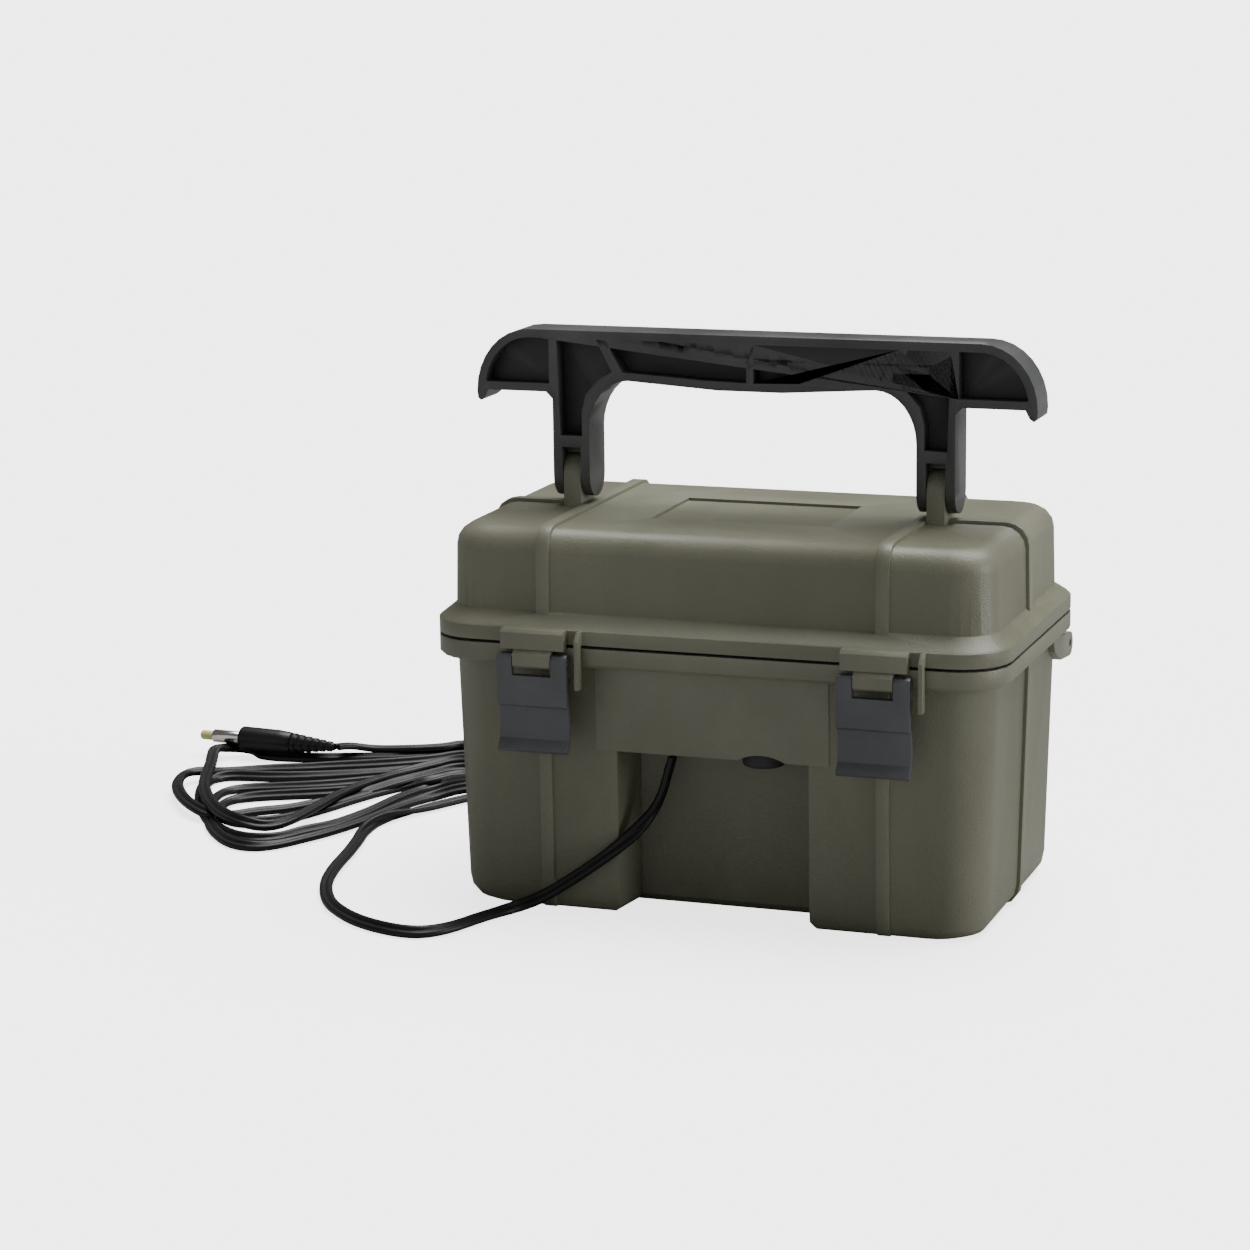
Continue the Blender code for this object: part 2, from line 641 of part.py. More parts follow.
def handle_pockets():
    """Outlines of the hollows in each face of the handle, right half only."""
    top = PIVOT_Z + GRIP_ABOVE_PIVOT - HANDLE_SKIN
    shoulder = PIVOT_Z + GRIP_ABOVE_PIVOT - GRIP_HIGH + HANDLE_SKIN
    inner, outer = HANDLE_LEG_X - LEG_HALF_WIDTH, HANDLE_LEG_X + LEG_HALF_WIDTH
    rib = HANDLE_WEB / 2
    grip = [(rib, top), (rib, shoulder - 0.0022), (0.0180, shoulder - 0.0018)]
    grip += [(0.0300, shoulder - 0.0010), (inner - 0.0130, shoulder), (inner - 0.0065, top)]
    floor = PIVOT_Z + LUG_RADIUS + 0.0072
    neck = [(inner - 0.0030, top), (inner - 0.0090, shoulder), (inner - 0.0035, shoulder - 0.0030)]
    neck += [(inner + 0.0012, shoulder - 0.0085), (inner + 0.0028, shoulder - 0.0150)]
    neck += [(inner + 0.0028, floor), (outer - 0.0028, floor), (outer - 0.0018, top)]
    wing_floor = PIVOT_Z + GRIP_ABOVE_PIVOT - WING_HIGH + HANDLE_SKIN
    reach = HANDLE_HALF_REACH - HANDLE_SKIN
    wing = [(outer + 0.0012, top), (outer + 0.0012, wing_floor), (reach - 0.0010, wing_floor)]
    inside = (WING_ROUND[0] - HANDLE_SKIN, WING_ROUND[1] - HANDLE_SKIN)
    centre = (HANDLE_HALF_REACH - WING_ROUND[0], PIVOT_Z + GRIP_ABOVE_PIVOT - WING_ROUND[1])
    wing += ellipse(centre, inside, 12, 88, 6)
    return grip, neck, wing


def leg_slot(x):
    """Room between a leg's cheeks for the lid's lug, with a web left over the lug."""
    half = LUG_HALF_WIDTH + GAP
    radius = LUG_RADIUS + LUG_CLEAR
    deep = HANDLE_HALF_DEEP + 0.001
    rise, web = PIVOT_Z + LUG_RADIUS + 0.0030, SLOT_WEB / 2
    outline = [(-deep, PIVOT_Z - 0.02), (deep, PIVOT_Z - 0.02), (deep, rise), (web, rise)]
    start = math.degrees(math.acos(web / radius))
    outline += arc((0.0, PIVOT_Z), radius, start, 180 - start, 8)
    outline += [(-web, rise), (-deep, rise)]
    return prism(outline, "X", x - half, x + half)


def handle():
    origin = (0.0, 0.0, PIVOT_Z)
    deep = HANDLE_HALF_DEEP
    bar = place("handle", prism(handle_outline(), "Y", -deep, deep), black(), origin)
    side_view = [(deep, PIVOT_Z + 0.1), (-deep, PIVOT_Z + 0.1)]
    side_view += arc((0.0, PIVOT_Z), deep, 180, 360, 12)
    combine(bar, [place("side", prism(side_view, "X", -0.2, 0.2), None)], "INTERSECT")
    cuts = []
    for outline in handle_pockets():
        for mirror in (-1, 1):
            for face in (-1, 1):
                ends = sorted((face * HANDLE_WEB / 2, face * (deep + 0.001)))
                mirrored = [(mirror * x, z) for x, z in outline]
                cuts.append(place("pocket", prism(mirrored, "Y", *ends), None))
    for x in (-HANDLE_LEG_X, HANDLE_LEG_X):
        cuts.append(place("slot", leg_slot(x), None))
        reach = LEG_HALF_WIDTH - PIN_COVER
        bore = rod(HANDLE_PIN_RADIUS + RUNNING_FIT, (x - reach, 0, PIVOT_Z), (x + reach, 0, PIVOT_Z))
        cuts.append(place("bore", bore, None))
    return combine(bar, cuts, "DIFFERENCE")


# ---- latch --------------------------------------------------------------------------------------
def latch(name, x):
    """Snap latch: a plate with a window round the tab, a hook nose, and a finger scoop."""
    front, back = LATCH_FRONT_Y, LATCH_FRONT_Y + LATCH_PLATE
    top = LATCH_PIVOT_Z + LATCH_PLATE
    scoop_top = LATCH_PIVOT_Z - 0.0162
    outline = arc((LATCH_PIVOT_Y, LATCH_PIVOT_Z), LATCH_PLATE, 0, 180, 8)
    outline += [(front, scoop_top), (front + 0.0020, scoop_top - 0.0010)]
    outline += [(front + 0.0028, scoop_top - 0.0070)]
    outline += [(front + 0.0022, scoop_top - 0.0125), (front - 0.0004, scoop_top - 0.0160)]
    outline += [(front + 0.0008, scoop_top - 0.0172), (front + 0.0042, scoop_top - 0.0135)]
    outline += [(front + 0.0052, scoop_top - 0.0085), (front + 0.0044, scoop_top - 0.0035)]
    outline += [(back, scoop_top + 0.0020), (back, LATCH_PIVOT_Z - 0.0088)]
    outline += [(HANG_Y, LATCH_PIVOT_Z - 0.0074), (HANG_Y, LATCH_PIVOT_Z - 0.0060)]
    outline += [(back, LATCH_PIVOT_Z - 0.0056), (back, LATCH_PIVOT_Z - 0.0030)]
    outline.append((HANG_Y - 0.0002, LATCH_PIVOT_Z - 0.0010))
    half = LATCH_HALF_WIDTH
    origin = (x, LATCH_PIVOT_Y, LATCH_PIVOT_Z)
    finish = material("grey_plastic", (0.060, 0.064, 0.070), 0.5)
    made = place(name, prism(outline, "X", x - half, x + half), finish, origin)
    window = TAB_HALF_WIDTH + GAP
    low = LATCH_PIVOT_Z - 0.0056
    cuts = [place("window", box((x - window, -0.09, low), (x + window, HANG_Y + 0.001, top + 0.001)), None)]
    low_end, high_end = (x - half - 0.001, *origin[1:]), (x + half + 0.001, *origin[1:])
    cuts.append(place("bore", rod(LATCH_PIN_RADIUS + RUNNING_FIT, low_end, high_end, 12), None))
    return combine(made, cuts, "DIFFERENCE")


# ---- battery and wiring -------------------------------------------------------------------------
def battery():
    front, back = battery_y()
    mid_y = (front + back) / 2
    low = battery_bottom()
    split = low + BATTERY_Z - BATTERY_COVER
    case = [rounded(BATTERY_X / 2, BATTERY_Y / 2, 0.0025, z, 3) for z in (low, split)]
    levels = (split + GAP, low + BATTERY_Z - 0.001)
    cover = [rounded(BATTERY_X / 2, BATTERY_Y / 2, 0.0025, z, 3) for z in levels]
    cover.append(rounded(BATTERY_X / 2 - 0.001, BATTERY_Y / 2 - 0.001, 0.0020, low + BATTERY_Z, 3))
    for name, rings in (("battery_case", case), ("battery_cover", cover)):
        bm = loft(rings)
        bmesh.ops.translate(bm, verts=bm.verts, vec=(0.0, mid_y, 0.0))
        place(name, bm, material("battery_plastic", (0.03, 0.03, 0.032), 0.5))
    top = low + BATTERY_Z
    for side, name in ((-1, "negative"), (1, "positive")):
        x, y = side * TERMINAL_X, front + 0.010
        tab = box((x - 0.0024, y - 0.0004, top + GAP), (x + 0.0024, y + 0.0004, top + 0.0068))
        foot = box((x - 0.0034, y - 0.0024, top + GAP), (x + 0.0034, y + 0.0024, top + 0.0010))
        made = place(f"terminal_{name}", tab, material("tinned_brass", (0.62, 0.60, 0.55), 0.35, 1.0))
        combine(made, [place("foot", foot, None)], "UNION")
        sleeve = box((x - 0.0037, y - 0.0022, top + 0.0014), (x + 0.0037, y + 0.0022, top + 0.0150))
        colour = (0.45, 0.02, 0.02) if side > 0 else (0.015, 0.015, 0.016)
        made = place(f"connector_{name}", sleeve, material(f"sleeve_{name}", colour, 0.5))
        slot = box((x - 0.0027, y - 0.0007, top), (x + 0.0027, y + 0.0007, top + 0.0075))
        combine(made, [place("slot", slot, None)], "DIFFERENCE")


def foam_pads():
    front, back = battery_y()
    foam = material("foam", (0.035, 0.035, 0.037), 0.95)
    low = battery_bottom()
    half_x = min(RECESS_HALF_X, BATTERY_X / 2)
    pad = box((-half_x, front - GAP - PAD_FRONT, low), (half_x, front - GAP, 0.055))
    place("pad_front", pad, foam, smooth=False)
    wall = BODY_HALF_Y - BODY_DRAFT_Y - WALL - GAP
    pad = box((-BATTERY_X / 2 + 0.01, back + GAP, low + 0.006), (BATTERY_X / 2 - 0.01, wall, 0.080))
    place("pad_rear", pad, foam, smooth=False)
    top = low + BATTERY_Z + GAP
    pad = box((-0.040, front + 0.022, top), (0.040, back - 0.008, LID_TOP - WALL - LABEL_DEEP - GAP))
    place("pad_top", pad, foam, smooth=False)


def charging_socket():
    """Threaded barrel socket through the ledge, its nut inside and a rubber cap below."""
    jack, nut = JACK_RADIUS, JACK_RADIUS + 0.0018
    below = LEDGE_Z - 0.0016
    body = [(0.0, jack - 0.0010), (0.0006, jack), (0.0200, jack), (0.0200, 0.0030), (0.0240, 0.0030)]
    place("socket_body", turned(body, (JACK_X, PORT_Y, below), (0, 0, 1)), black())
    nut_low = LEDGE_Z + WALL + GAP
    ring = turned([(0.0, nut), (0.0030, nut)], (JACK_X, PORT_Y, nut_low), (0, 0, 1), 6)
    made = place("socket_nut", ring, steel(), smooth=False)
    hole = rod(jack + GAP, (JACK_X, PORT_Y, nut_low - 0.001), (JACK_X, PORT_Y, nut_low + 0.005), 20)
    combine(made, [place("hole", hole, None)], "DIFFERENCE")
    bottom = LEDGE_Z - CAP_BELOW_LEDGE
    cap = [(0.0, CAP_RADIUS - 0.0008), (0.0008, CAP_RADIUS), (CAP_BELOW_LEDGE - GAP, CAP_RADIUS)]
    made = place("socket_cap", turned(cap, (JACK_X, PORT_Y, bottom), (0, 0, 1)), rubber())
    hole = rod(jack + GAP, (JACK_X, PORT_Y, below - GAP), (JACK_X, PORT_Y, LEDGE_Z + 0.001), 20)
    combine(made, [place("hole", hole, None)], "DIFFERENCE")


def rubber():
    return material("black_rubber", (0.010, 0.010, 0.010), 0.6)


def cord_gland():
    """Bushing through the ledge, with a short relief nose below and a lock nut inside."""
    start = LEDGE_Z - 0.0052
    nose = [(0.0, 0.0027), (0.0040, 0.0034), (0.0040, 0.0048), (0.0052 - GAP, 0.0048)]
    nose += [(0.0052 - GAP, GLAND_RADIUS), (0.0120, GLAND_RADIUS)]
    made = place("cord_gland", turned(nose, (GLAND_X, PORT_Y, start), (0, 0, 1)), rubber())
    hole = rod(CORD_RADIUS + GAP, (GLAND_X, PORT_Y, start + 0.004), (GLAND_X, PORT_Y, start + 0.014))
    combine(made, [place("hole", hole, None)], "DIFFERENCE")
    nut_low = LEDGE_Z + WALL + GAP
    ring = turned([(0.0, 0.0062), (0.0028, 0.0062)], (GLAND_X, PORT_Y, nut_low), (0, 0, 1), 6)
    made = place("gland_nut", ring, black(), smooth=False)
    hole = rod(GLAND_RADIUS + GAP, (GLAND_X, PORT_Y, nut_low - 0.001), (GLAND_X, PORT_Y, nut_low + 0.005), 20)
    combine(made, [place("hole", hole, None)], "DIFFERENCE")


def inner_leads():
    """Battery leads to the gland, with an inline fuse in the positive one, and the socket's leads."""
    front = battery_y()[0] + 0.010
    top = battery_bottom() + BATTERY_Z + 0.0150 + GAP
    gland_top = LEDGE_Z + 0.0068 + GAP
    red = material("lead_red", (0.42, 0.02, 0.02), 0.45)
    dark = material("lead_black", (0.012, 0.012, 0.012), 0.45)
    channel_y = PORT_Y - 0.0010
    fuse_z = LEDGE_Z + 0.0250
    fuse = turned(
        [(0.0, 0.0022), (0.0040, 0.0038), (0.0300, 0.0038), (0.0340, 0.0022)],
        (0.0330, channel_y, fuse_z), (1, 0, 0), 14,
    )
    place("fuse_holder", fuse, black())
    nut = turned([(0.0, 0.0046), (0.0050, 0.0046)], (0.0475, channel_y, fuse_z), (1, 0, 0), 14)
    made = place("fuse_ring", nut, black())
    hole = rod(0.0038 + GAP, (0.046, channel_y, fuse_z), (0.054, channel_y, fuse_z), 14)
    combine(made, [place("hole", hole, None)], "DIFFERENCE")
    x = TERMINAL_X
    route = [(x, front, top), (x + 0.002, front - 0.001, top + 0.006)]
    route += [(x + 0.008, front - 0.008, top + 0.008), (x + 0.013, front - 0.018, top - 0.004)]
    route.append((x + 0.014, channel_y, fuse_z + 0.010))
    route += [(x + 0.011, channel_y, fuse_z + 0.001), (0.0670 + 2 * GAP, channel_y, fuse_z)]
    tube("lead_positive", route, LEAD_RADIUS, 26, red)
    route = [(0.0330 - GAP, channel_y, fuse_z), (0.024, channel_y, fuse_z + 0.001)]
    route += [(0.004, channel_y, fuse_z + 0.001), (-0.010, PORT_Y, fuse_z - 0.004)]
    route += [(GLAND_X + 0.0018, PORT_Y, fuse_z - 0.012), (GLAND_X + 0.0013, PORT_Y, gland_top + 0.0002)]
    tube("lead_fused", route, LEAD_RADIUS, 22, red)
    route = [(-x, front, top), (-x - 0.001, front - 0.001, top + 0.006)]
    route.append((-x + 0.004, front - 0.010, top + 0.008))
    route += [(-x + 0.010, front - 0.018, top - 0.004), (-x + 0.016, channel_y, fuse_z + 0.006)]
    route += [(-0.034, channel_y, fuse_z - 0.006), (GLAND_X - 0.005, PORT_Y, fuse_z - 0.008)]
    route += [(GLAND_X - 0.0018, PORT_Y, fuse_z - 0.013), (GLAND_X - 0.0013, PORT_Y, gland_top + 0.0002)]
    tube("lead_negative", route, LEAD_RADIUS, 32, dark)


# ---- cord ---------------------------------------------------------------------------------------
CORD_ROUTE = [
    (-0.0180, -0.0440, 0.0565), (-0.0195, -0.0443, 0.0515), (-0.0211, -0.0455, 0.0444),
    (-0.0235, -0.0475, 0.0381), (-0.0279, -0.0515, 0.0319), (-0.0339, -0.0560, 0.0260),
    (-0.0411, -0.0572, 0.0202), (-0.0524, -0.0578, 0.0120), (-0.0637, -0.0600, 0.0048),
    (-0.0726, -0.0660, 0.0020), (-0.0783, -0.0801, 0.0020), (-0.0839, -0.0943, 0.0020),
    (-0.0917, -0.1029, 0.0020), (-0.1031, -0.1027, 0.0020), (-0.1171, -0.0971, 0.0020),
    (-0.1289, -0.0880, 0.0020), (-0.1392, -0.0756, 0.0020), (-0.1480, -0.0580, 0.0020),
    (-0.1536, -0.0380, 0.0020), (-0.1572, -0.0180, 0.0020), (-0.1610, 0.0000, 0.0020),
    (-0.1642, 0.0120, 0.0020),
]
TAIL_ROUTE = [
    (-0.2200, 0.1120, 0.0075), (-0.2130, 0.1165, 0.0064), (-0.2050, 0.1235, 0.0053),
    (-0.1920, 0.1290, 0.0048), (-0.1800, 0.1360, 0.0048), (-0.1650, 0.1410, 0.0048),
]
HANK_OUTLINE = [
    (-0.1680, 0.0160), (-0.1625, 0.0265), (-0.1580, 0.0410), (-0.1500, 0.0555), (-0.1430, 0.0690),
    (-0.1340, 0.0840), (-0.1240, 0.0950), (-0.1130, 0.0985), (-0.1040, 0.0985), (-0.0940, 0.1010),
    (-0.0840, 0.1085), (-0.0785, 0.1195), (-0.0785, 0.1325), (-0.0840, 0.1435), (-0.0940, 0.1510),
    (-0.1050, 0.1535), (-0.1160, 0.1535), (-0.1400, 0.1510), (-0.1600, 0.1490), (-0.1780, 0.1450),
    (-0.1980, 0.1290), (-0.2180, 0.1220), (-0.2380, 0.1160), (-0.2700, 0.1160), (-0.2740, 0.1080),
    (-0.2690, 0.0860), (-0.2700, 0.0700), (-0.2690, 0.0560), (-0.2630, 0.0410), (-0.2530, 0.0260),
    (-0.2430, 0.0150), (-0.2340, 0.0060), (-0.2230, -0.0080), (-0.2120, -0.0180), (-0.1990, -0.0240),
    (-0.1870, -0.0190), (-0.1790, -0.0050), (-0.1740, 0.0070),
]
PLUG_TIP_AT = Vector((-0.2824, 0.1120, 0.0085))
PLUG_AXIS = Vector((0.0621, 0.0, -0.0010)).normalized()


def cord_and_plug():
    flex = material("cord_pvc", (0.010, 0.010, 0.010), 0.4)
    tube("power_cord", CORD_ROUTE, CORD_RADIUS, 46, flex)
    rings = [[(x, y, z) for x, y in HANK_OUTLINE] for z in (GAP, HANK_HIGH)]
    place("cord_hank", loft(rings), flex)
    tube("cord_tail", TAIL_ROUTE, CORD_RADIUS, 14, flex)
    barrel_start = PLUG_TIP
    body_start = barrel_start + PLUG_BARREL
    relief_start = body_start + PLUG_BODY
    tip = [(0.0, 0.0014), (0.0006, 0.0020), (PLUG_TIP - GAP, 0.0020)]
    yellow = material("yellow_insulator", (0.62, 0.60, 0.16), 0.45)
    place("plug_tip", turned(tip, PLUG_TIP_AT, PLUG_AXIS, 16), yellow)
    barrel = [(barrel_start, PLUG_BARREL_RADIUS), (body_start - GAP, PLUG_BARREL_RADIUS)]
    place("plug_barrel", turned(barrel, PLUG_TIP_AT, PLUG_AXIS, 20), steel())
    body = [(body_start, PLUG_RADIUS - 0.0006), (body_start + 0.0008, PLUG_RADIUS)]
    body += [(relief_start - 0.006, PLUG_RADIUS - 0.0002), (relief_start - GAP, PLUG_RADIUS - 0.0008)]
    place("plug_body", turned(body, PLUG_TIP_AT, PLUG_AXIS, 20), flex)
    relief = []
    rings_count = 6
    pitch = PLUG_RELIEF / rings_count
    for ring in range(rings_count):
        start = relief_start + ring * pitch
        radius = PLUG_RADIUS - 0.0010 - ring * 0.0004
        groove = radius - RELIEF_GROOVE
        relief += [(start, radius), (start + 0.6 * pitch, radius), (start + 0.6 * pitch, groove)]
        relief.append((start + pitch, groove))
    place("plug_relief", turned(relief, PLUG_TIP_AT, PLUG_AXIS, 16), flex)


# ---- assembly -----------------------------------------------------------------------------------
def pins():
    for side, name in ((-1, "left"), (1, "right")):
        x = side * HANDLE_LEG_X
        reach = LEG_HALF_WIDTH - PIN_COVER - GAP
        pin = rod(HANDLE_PIN_RADIUS, (x - reach, 0, PIVOT_Z), (x + reach, 0, PIVOT_Z))
        place(f"handle_pin_{name}", pin, black())
        x = side * LATCH_X
        reach = LATCH_HALF_WIDTH - GAP
        low, high = [(end, LATCH_PIVOT_Y, LATCH_PIVOT_Z) for end in (x - reach, x + reach)]
        place(f"latch_pin_{name}", rod(LATCH_PIN_RADIUS, low, high, 12), steel())
        ends = sorted((side * hinge_spans()[1][0], side * (HINGE_END_X - 0.0008)))
        low, high = (ends[0], HINGE_Y, HINGE_Z), (ends[1], HINGE_Y, HINGE_Z)
        place(f"hinge_pin_{name}", rod(HINGE_PIN_RADIUS, low, high), steel())


def main():
    clear_scene()
    base_shell()
    lid_shell()
    place("lid_gasket", gasket_ring(GAP), rubber())
    handle()
    latch("latch_left", -LATCH_X)
    latch("latch_right", LATCH_X)
    pins()
    battery()
    foam_pads()
    charging_socket()
    cord_gland()
    inner_leads()
    cord_and_plug()


main()
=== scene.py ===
"""Portable 12 V battery box: moulded case, hinged lid, folding carry handle, two snap latches, the
battery and wiring inside, and a flat twin cord with a barrel plug. Metres, front at -Y.
"""
import math

import bmesh
import bpy
from mathutils import Matrix, Vector
from mathutils.geometry import interpolate_bezier


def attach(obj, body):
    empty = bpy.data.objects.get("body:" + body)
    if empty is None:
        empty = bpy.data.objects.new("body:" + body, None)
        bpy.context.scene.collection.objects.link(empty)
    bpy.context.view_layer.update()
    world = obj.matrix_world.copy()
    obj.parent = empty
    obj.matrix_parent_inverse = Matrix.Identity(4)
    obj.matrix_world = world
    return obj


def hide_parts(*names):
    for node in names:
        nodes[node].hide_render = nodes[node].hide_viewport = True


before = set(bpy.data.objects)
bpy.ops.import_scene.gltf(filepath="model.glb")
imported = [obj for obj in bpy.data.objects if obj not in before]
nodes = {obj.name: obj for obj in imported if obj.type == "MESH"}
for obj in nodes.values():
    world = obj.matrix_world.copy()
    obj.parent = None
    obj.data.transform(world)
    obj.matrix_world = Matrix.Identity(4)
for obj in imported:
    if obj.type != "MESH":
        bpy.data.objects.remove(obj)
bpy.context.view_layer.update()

# ---- camera -------------------------------------------------------------------------------------
# A long portrait lens a little above the lid, looking at the front and the right-hand end.
turn, rise, roll = math.radians(19.76), math.radians(12.23), math.radians(-0.78)
back = Vector((math.sin(turn) * math.cos(rise), -math.cos(turn) * math.cos(rise), math.sin(rise)))
across = Vector((math.cos(turn), math.sin(turn), 0.0))
upward = back.cross(across)
level = across * math.cos(roll) + upward * math.sin(roll)
head = upward * math.cos(roll) - across * math.sin(roll)
lens = bpy.data.cameras.new("camera")
lens.lens, lens.sensor_width = 101.85, 36.0
lens.shift_x, lens.shift_y = -0.0032, -0.0006
camera = bpy.data.objects.new("camera", lens)
camera.matrix_world = Matrix.Translation((0.3790, -1.1931, 0.3683)) @ Matrix(
    (level, head, back)
).transposed().to_4x4()
bpy.context.scene.collection.objects.link(camera)
bpy.context.scene.camera = camera

# ---- lower case ---------------------------------------------------------------------------------
# One injection moulding in olive drab ABS with a fine spark-eroded skin. The flange, ribs, ledge
# over the front bay and the rear hinge knuckles are all part of the same shot.
EDGE_CASE = 0.0006
MERGE_WITHIN = 0.000004
FLAT_WITHIN = math.radians(0.6)
SMOOTH_UNDER = math.radians(36)
FULL_WEAR_AND_HIGHLIGHT_TURN = 0.6  # radians between faces at which an arris is fully rubbed and fully given its painted highlight


def pick(piece):
    """Selects one piece and nothing else."""
    bpy.ops.object.select_all(action="DESELECT")
    piece.select_set(True)
    bpy.context.view_layer.objects.active = piece


def softened(source, name, width, segments=2, sharp=28.0):
    """A merged copy of a CAD solid with its arrises rounded, as a mould leaves them."""
    piece = bpy.data.objects.new(name, source.data.copy())
    bpy.context.scene.collection.objects.link(piece)
    piece.data.materials.clear()
    pick(piece)
    bpy.ops.object.mode_set(mode="EDIT")
    bpy.ops.mesh.select_all(action="SELECT")
    bpy.ops.mesh.remove_doubles(threshold=MERGE_WITHIN)
    bpy.ops.mesh.customdata_custom_splitnormals_clear()
    bpy.ops.mesh.select_all(action="SELECT")
    bpy.ops.mesh.dissolve_limited(angle_limit=FLAT_WITHIN)
    bpy.ops.object.mode_set(mode="OBJECT")
    soft = piece.modifiers.new("arris", "BEVEL")
    soft.width, soft.segments = width, segments
    soft.limit_method, soft.angle_limit = "ANGLE", math.radians(sharp)
    soft.use_clamp_overlap = True
    soft.miter_outer = "MITER_ARC"
    bpy.ops.object.modifier_apply(modifier="arris")
    bpy.ops.object.mode_set(mode="EDIT")
    bpy.ops.mesh.select_all(action="SELECT")
    bpy.ops.mesh.remove_doubles(threshold=MERGE_WITHIN)
    bpy.ops.mesh.quads_convert_to_tris()
    bpy.ops.object.mode_set(mode="OBJECT")
    bpy.ops.object.shade_smooth_by_angle(angle=SMOOTH_UNDER)
    mark_arrises(piece)
    return piece


def mark_arrises(piece):
    """Stores how sharply the surface turns at each point, for rubbed edges with a painted highlight."""
    shape = bmesh.new()
    shape.from_mesh(piece.data)
    values = []
    for corner in shape.verts:
        turns = [edge.calc_face_angle_signed(0.0) for edge in corner.link_edges if edge.is_manifold]
        values.append(min(max(max(turns, default=0.0) / FULL_WEAR_AND_HIGHLIGHT_TURN, 0.0), 1.0))
    shape.free()
    layer = piece.data.attributes.new("arris", "FLOAT", "POINT")
    layer.data.foreach_set("value", values)


def group_of(name, takes, gives):
    """An empty node group with the given sockets."""
    group = bpy.data.node_groups.new(name, "ShaderNodeTree")
    for label, kind, start in takes:
        socket = group.interface.new_socket(name=label, in_out="INPUT", socket_type=kind)
        socket.default_value = start
    for label, kind in gives:
        group.interface.new_socket(name=label, in_out="OUTPUT", socket_type=kind)
    return group, group.nodes.new("NodeGroupInput"), group.nodes.new("NodeGroupOutput")


def node_in(tree, kind, links=(), **values):
    """Adds a node, sets its fields, and feeds its inputs from (input, output socket) pairs."""
    made = tree.nodes.new(kind)
    for field, value in values.items():
        setattr(made, field, value)
    for slot, source in links:
        if isinstance(source, bpy.types.NodeSocket):
            tree.links.new(source, made.inputs[slot])
        else:
            made.inputs[slot].default_value = source
    return made


COLOUR, NUMBER, ARROW = "NodeSocketColor", "NodeSocketFloat", "NodeSocketVector"
skin_group, takes, gives = group_of(
    "moulded_skin",
    [
        ("Colour", COLOUR, (0.2, 0.2, 0.2, 1.0)), ("Edge wear and highlight", COLOUR, (0.4, 0.4, 0.4, 1.0)),
        ("Grain", NUMBER, 900.0), ("Depth", NUMBER, 0.00004), ("Mottle", NUMBER, 0.08),
        ("Sheen low", NUMBER, 0.42), ("Sheen high", NUMBER, 0.62), ("Edge wear and highlight amount", NUMBER, 0.5),
    ],
    [("Colour", COLOUR), ("Roughness", NUMBER), ("Normal", ARROW)],
)
g = skin_group
place = node_in(g, "ShaderNodeTexCoord").outputs["Object"]
grain = node_in(
    g, "ShaderNodeTexNoise", [("Vector", place), ("Scale", takes.outputs["Grain"]), ("Detail", 3.0)]
)
pits = node_in(g, "ShaderNodeTexVoronoi", [("Vector", place), ("Scale", takes.outputs["Grain"])])
cloud = node_in(
    g, "ShaderNodeTexNoise", [("Vector", place), ("Scale", 21.0), ("Detail", 5.0), ("Roughness", 0.6)]
)
flow = node_in(g, "ShaderNodeMapping", [("Vector", place), ("Scale", (6.0, 6.0, 1.4))])
streak = node_in(g, "ShaderNodeTexNoise", [("Vector", flow.outputs[0]), ("Scale", 9.0), ("Detail", 4.0)])
scuff_place = node_in(
    g, "ShaderNodeMapping",
    [("Vector", place), ("Rotation", (0.3, 0.5, 0.8)), ("Scale", (1.0, 14.0, 1.0))],
)
scuff = node_in(
    g, "ShaderNodeTexNoise", [("Vector", scuff_place.outputs[0]), ("Scale", 24.0), ("Detail", 6.0)]
)
scuffed = node_in(
    g, "ShaderNodeMapRange", [("Value", scuff.outputs[0]), ("From Min", 0.60), ("From Max", 0.78)]
)
blend_two = node_in(g, "ShaderNodeMath", [(0, cloud.outputs[0]), (1, streak.outputs[0])], operation="ADD")
even = node_in(g, "ShaderNodeMath", [(0, blend_two.outputs[0]), (1, 1.0)], operation="SUBTRACT")
amount = node_in(
    g, "ShaderNodeMath", [(0, even.outputs[0]), (1, takes.outputs["Mottle"])], operation="MULTIPLY"
)
shade = node_in(g, "ShaderNodeMath", [(0, amount.outputs[0]), (1, 1.0)], operation="ADD")
tinted = node_in(
    g, "ShaderNodeVectorMath", [(0, takes.outputs["Colour"]), ("Scale", shade.outputs[0])], operation="SCALE"
)
# Edges are mixed towards the lighter second colour: partly rubbed wear, partly a painted highlight along the
# arrises.
arris = node_in(g, "ShaderNodeAttribute", attribute_name="arris")
broken = node_in(g, "ShaderNodeMapRange", [("Value", cloud.outputs[0]), ("From Min", 0.3), ("From Max", 0.7)])
broken.inputs["To Min"].default_value = 0.35
edge_wear_highlight = node_in(g, "ShaderNodeMath", [(0, arris.outputs["Fac"]), (1, broken.outputs[0])], operation="MULTIPLY")
edge_wear_highlight_share = node_in(g, "ShaderNodeMath", [(0, edge_wear_highlight.outputs[0]), (1, takes.outputs["Edge wear and highlight amount"])], operation="MULTIPLY")
edge_wear_and_highlight_mix = node_in(
    g, "ShaderNodeMix", [("Factor", edge_wear_highlight_share.outputs[0]), (6, tinted.outputs[0]), (7, takes.outputs["Edge wear and highlight"])],
    data_type="RGBA",
)
g.links.new(edge_wear_and_highlight_mix.outputs[2], gives.inputs["Colour"])
rough = node_in(
    g, "ShaderNodeMapRange",
    [("Value", cloud.outputs[0]), ("From Min", 0.3), ("From Max", 0.7),
     ("To Min", takes.outputs["Sheen low"]), ("To Max", takes.outputs["Sheen high"])],
)
